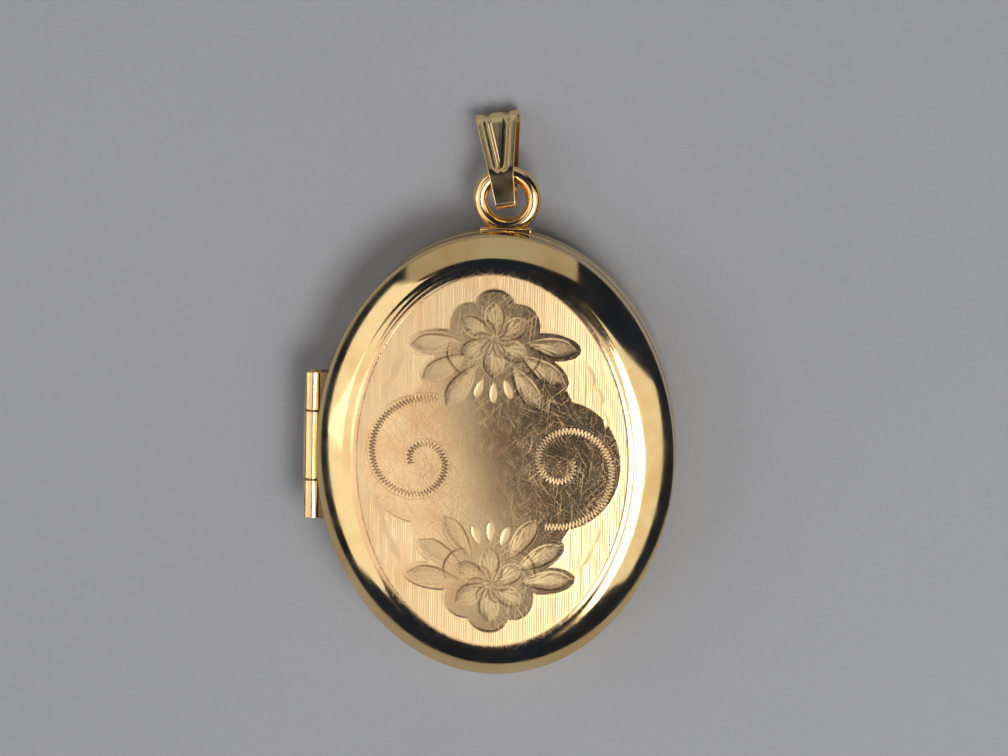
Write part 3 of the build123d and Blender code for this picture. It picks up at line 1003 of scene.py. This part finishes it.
def cardMaterial():
    material, nodes, links, shader, place = startMaterial("pictureCard")
    fibre = noise(nodes, links, place, 6.0, 6.0, rough=0.7)
    patch = noise(nodes, links, place, 0.4, 3.0)
    both = maths(nodes, links, "MULTIPLY_ADD", fibre, 0.5, maths(nodes, links, "MULTIPLY", patch, 0.5))
    colour = ramp(nodes, links, both, [(0.38, cardFinish["fleck"]), (0.6, cardFinish["colour"])])
    links.new(colour, shader.inputs["Base Color"])
    shader.inputs["Roughness"].default_value = cardFinish["rough"]
    links.new(bump(nodes, links, fibre, cardFinish["tooth"]), shader.inputs["Normal"])
    return material


def windowMaterial():
    material, nodes, links, shader, place = startMaterial("clearWindow")
    shader.inputs["Base Color"].default_value = (*windowFinish["colour"], 1)
    shader.inputs["Alpha"].default_value = windowFinish["alpha"]
    smear = noise(nodes, links, place, 0.5, 4.0)
    links.new(ramp(nodes, links, smear, [(0.4, windowFinish["rough"]), (0.75, windowFinish["smeared"])]),
              shader.inputs["Roughness"])
    scratch = noise(nodes, links, place, 1.0, 2.0, (8.0, 0.4, 1.0), 22)
    links.new(bump(nodes, links, scratch, windowFinish["scratch"]), shader.inputs["Normal"])
    return material


insideFinishes = {
    "front_liner": gold["innerGold"], "back_liner": gold["innerGold"],
    "front_photo_frame": gold["innerGold"], "back_photo_frame": gold["innerGold"],
    "snap_catch": gold["innerGold"],
    "front_window": windowMaterial(), "back_window": None,
    "front_card": cardMaterial(), "back_card": None,
    "front_hinge_bearer": gold["darkBearerGold"],
    "back_bearer_upper": gold["darkBearerGold"], "back_bearer_lower": gold["darkBearerGold"],
}
insideFinishes["back_window"] = insideFinishes["front_window"]
insideFinishes["back_card"] = insideFinishes["front_card"]
for name, material in insideFinishes.items():
    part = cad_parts[name]
    part.data.materials.clear()
    part.data.materials.append(material)
    part.data.shade_smooth()
    part.data.set_sharp_from_angle(angle=math.radians(32))
print("locket: inside pieces finished")


# Ground paper, lamps and camera
paper = {"colour": (0.405, 0.410, 0.423), "darker": (0.370, 0.375, 0.389), "size": 1600.0, "fibre": 0.045}
lamps = {
    # name: (turn from +X, height angle, distance, width, height, watts, colour)
    "keyBox": (-38.0, 62.0, 0.42, 0.225, 0.18, 0.94, (1.0, 0.99, 0.97)),
    "rightBox": (-18.0, 43.0, 0.42, 0.40, 0.38, 0.42, (1.0, 0.99, 0.97)),
    "leftBox": (202.0, 46.0, 0.42, 0.27, 0.54, 0.46, (1.0, 0.97, 0.95)),
    "leftLow": (168.0, 30.0, 0.42, 0.34, 0.273, 0.29, (1.0, 0.97, 0.95)),
    "farBox": (98.0, 18.0, 0.60, 1.10, 0.46, 0.62, (1.0, 0.98, 0.90)),
}
room = {"colour": (0.25, 0.40, 1.0), "strength": 0.045}
shot = {
    "towardsRight": 5.6, "towardsBail": 13.0, "roll": 1.25,
    "aim": (0.43, 5.36, 3.25), "distance": 350.0, "sensor": 36.0, "lens": 178.2,
}


def paperMaterial():
    material, nodes, links, shader, place = startMaterial("groundPaper")
    fibre = noise(nodes, links, place, 3.2, 6.0, rough=0.75)
    drift = noise(nodes, links, place, 0.03, 1.0)
    both = maths(nodes, links, "MULTIPLY_ADD", fibre, 0.75, maths(nodes, links, "MULTIPLY", drift, 0.25))
    colour = ramp(nodes, links, both, [(0.35, paper["darker"]), (0.62, paper["colour"])])
    links.new(colour, shader.inputs["Base Color"])
    shader.inputs["Roughness"].default_value = 0.85
    shader.inputs["Specular IOR Level"].default_value = 0.25
    links.new(bump(nodes, links, fibre, paper["fibre"]), shader.inputs["Normal"])
    return material


def layPaper():
    half = paper["size"] * mm / 2
    mesh = bpy.data.meshes.new("groundPaper")
    corners = [(-half, -half, 0), (half, -half, 0), (half, half, 0), (-half, half, 0)]
    mesh.from_pydata(corners, [], [(0, 1, 2, 3)])
    sheet = bpy.data.objects.new("groundPaper", mesh)
    bpy.context.scene.collection.objects.link(sheet)
    mesh.materials.append(paperMaterial())


def hangLamps():
    for name, (turn, rise, distance, width, height, watts, warmth) in lamps.items():
        turn, rise = math.radians(turn), math.radians(rise)
        light = bpy.data.lights.new(name, "AREA")
        light.shape = "RECTANGLE"
        light.size, light.size_y = width, height
        light.energy = watts
        light.color = warmth
        lamp = bpy.data.objects.new(name, light)
        bpy.context.scene.collection.objects.link(lamp)
        flat = distance * math.cos(rise)
        lamp.location = (flat * math.cos(turn), flat * math.sin(turn), distance * math.sin(rise))
        aim = Vector((0, 0, 3 * mm)) - lamp.location
        lamp.rotation_euler = aim.to_track_quat("-Z", "Y").to_euler()
    world = bpy.data.worlds.new("room")
    bpy.context.scene.world = world
    world.use_nodes = True
    back = world.node_tree.nodes["Background"]
    back.inputs["Color"].default_value = (*room["colour"], 1)
    back.inputs["Strength"].default_value = room["strength"]


def setCamera():
    s = shot
    camera = bpy.data.cameras.new("camera")
    camera.sensor_width = s["sensor"]
    camera.lens = s["lens"]
    camera.clip_start, camera.clip_end = 0.01, 10
    holder = bpy.data.objects.new("camera", camera)
    bpy.context.scene.collection.objects.link(holder)
    back = Vector((math.tan(math.radians(s["towardsRight"])), math.tan(math.radians(s["towardsBail"])), 1))
    back.normalize()
    right = Vector((0, 1, 0)).cross(back).normalized()
    up = back.cross(right)
    roll = math.radians(s["roll"])
    tiltedRight = right * math.cos(roll) + up * math.sin(roll)
    tiltedUp = up * math.cos(roll) - right * math.sin(roll)
    spot = (Vector(s["aim"]) + back * s["distance"]) * mm
    columns = Matrix((tiltedRight, tiltedUp, back)).transposed().to_4x4()
    holder.matrix_world = Matrix.Translation(spot) @ columns
    bpy.context.scene.camera = holder


layPaper()
hangLamps()
setCamera()
bpy.context.scene.view_settings.view_transform = "Standard"
print("locket: paper, lamps and camera placed")
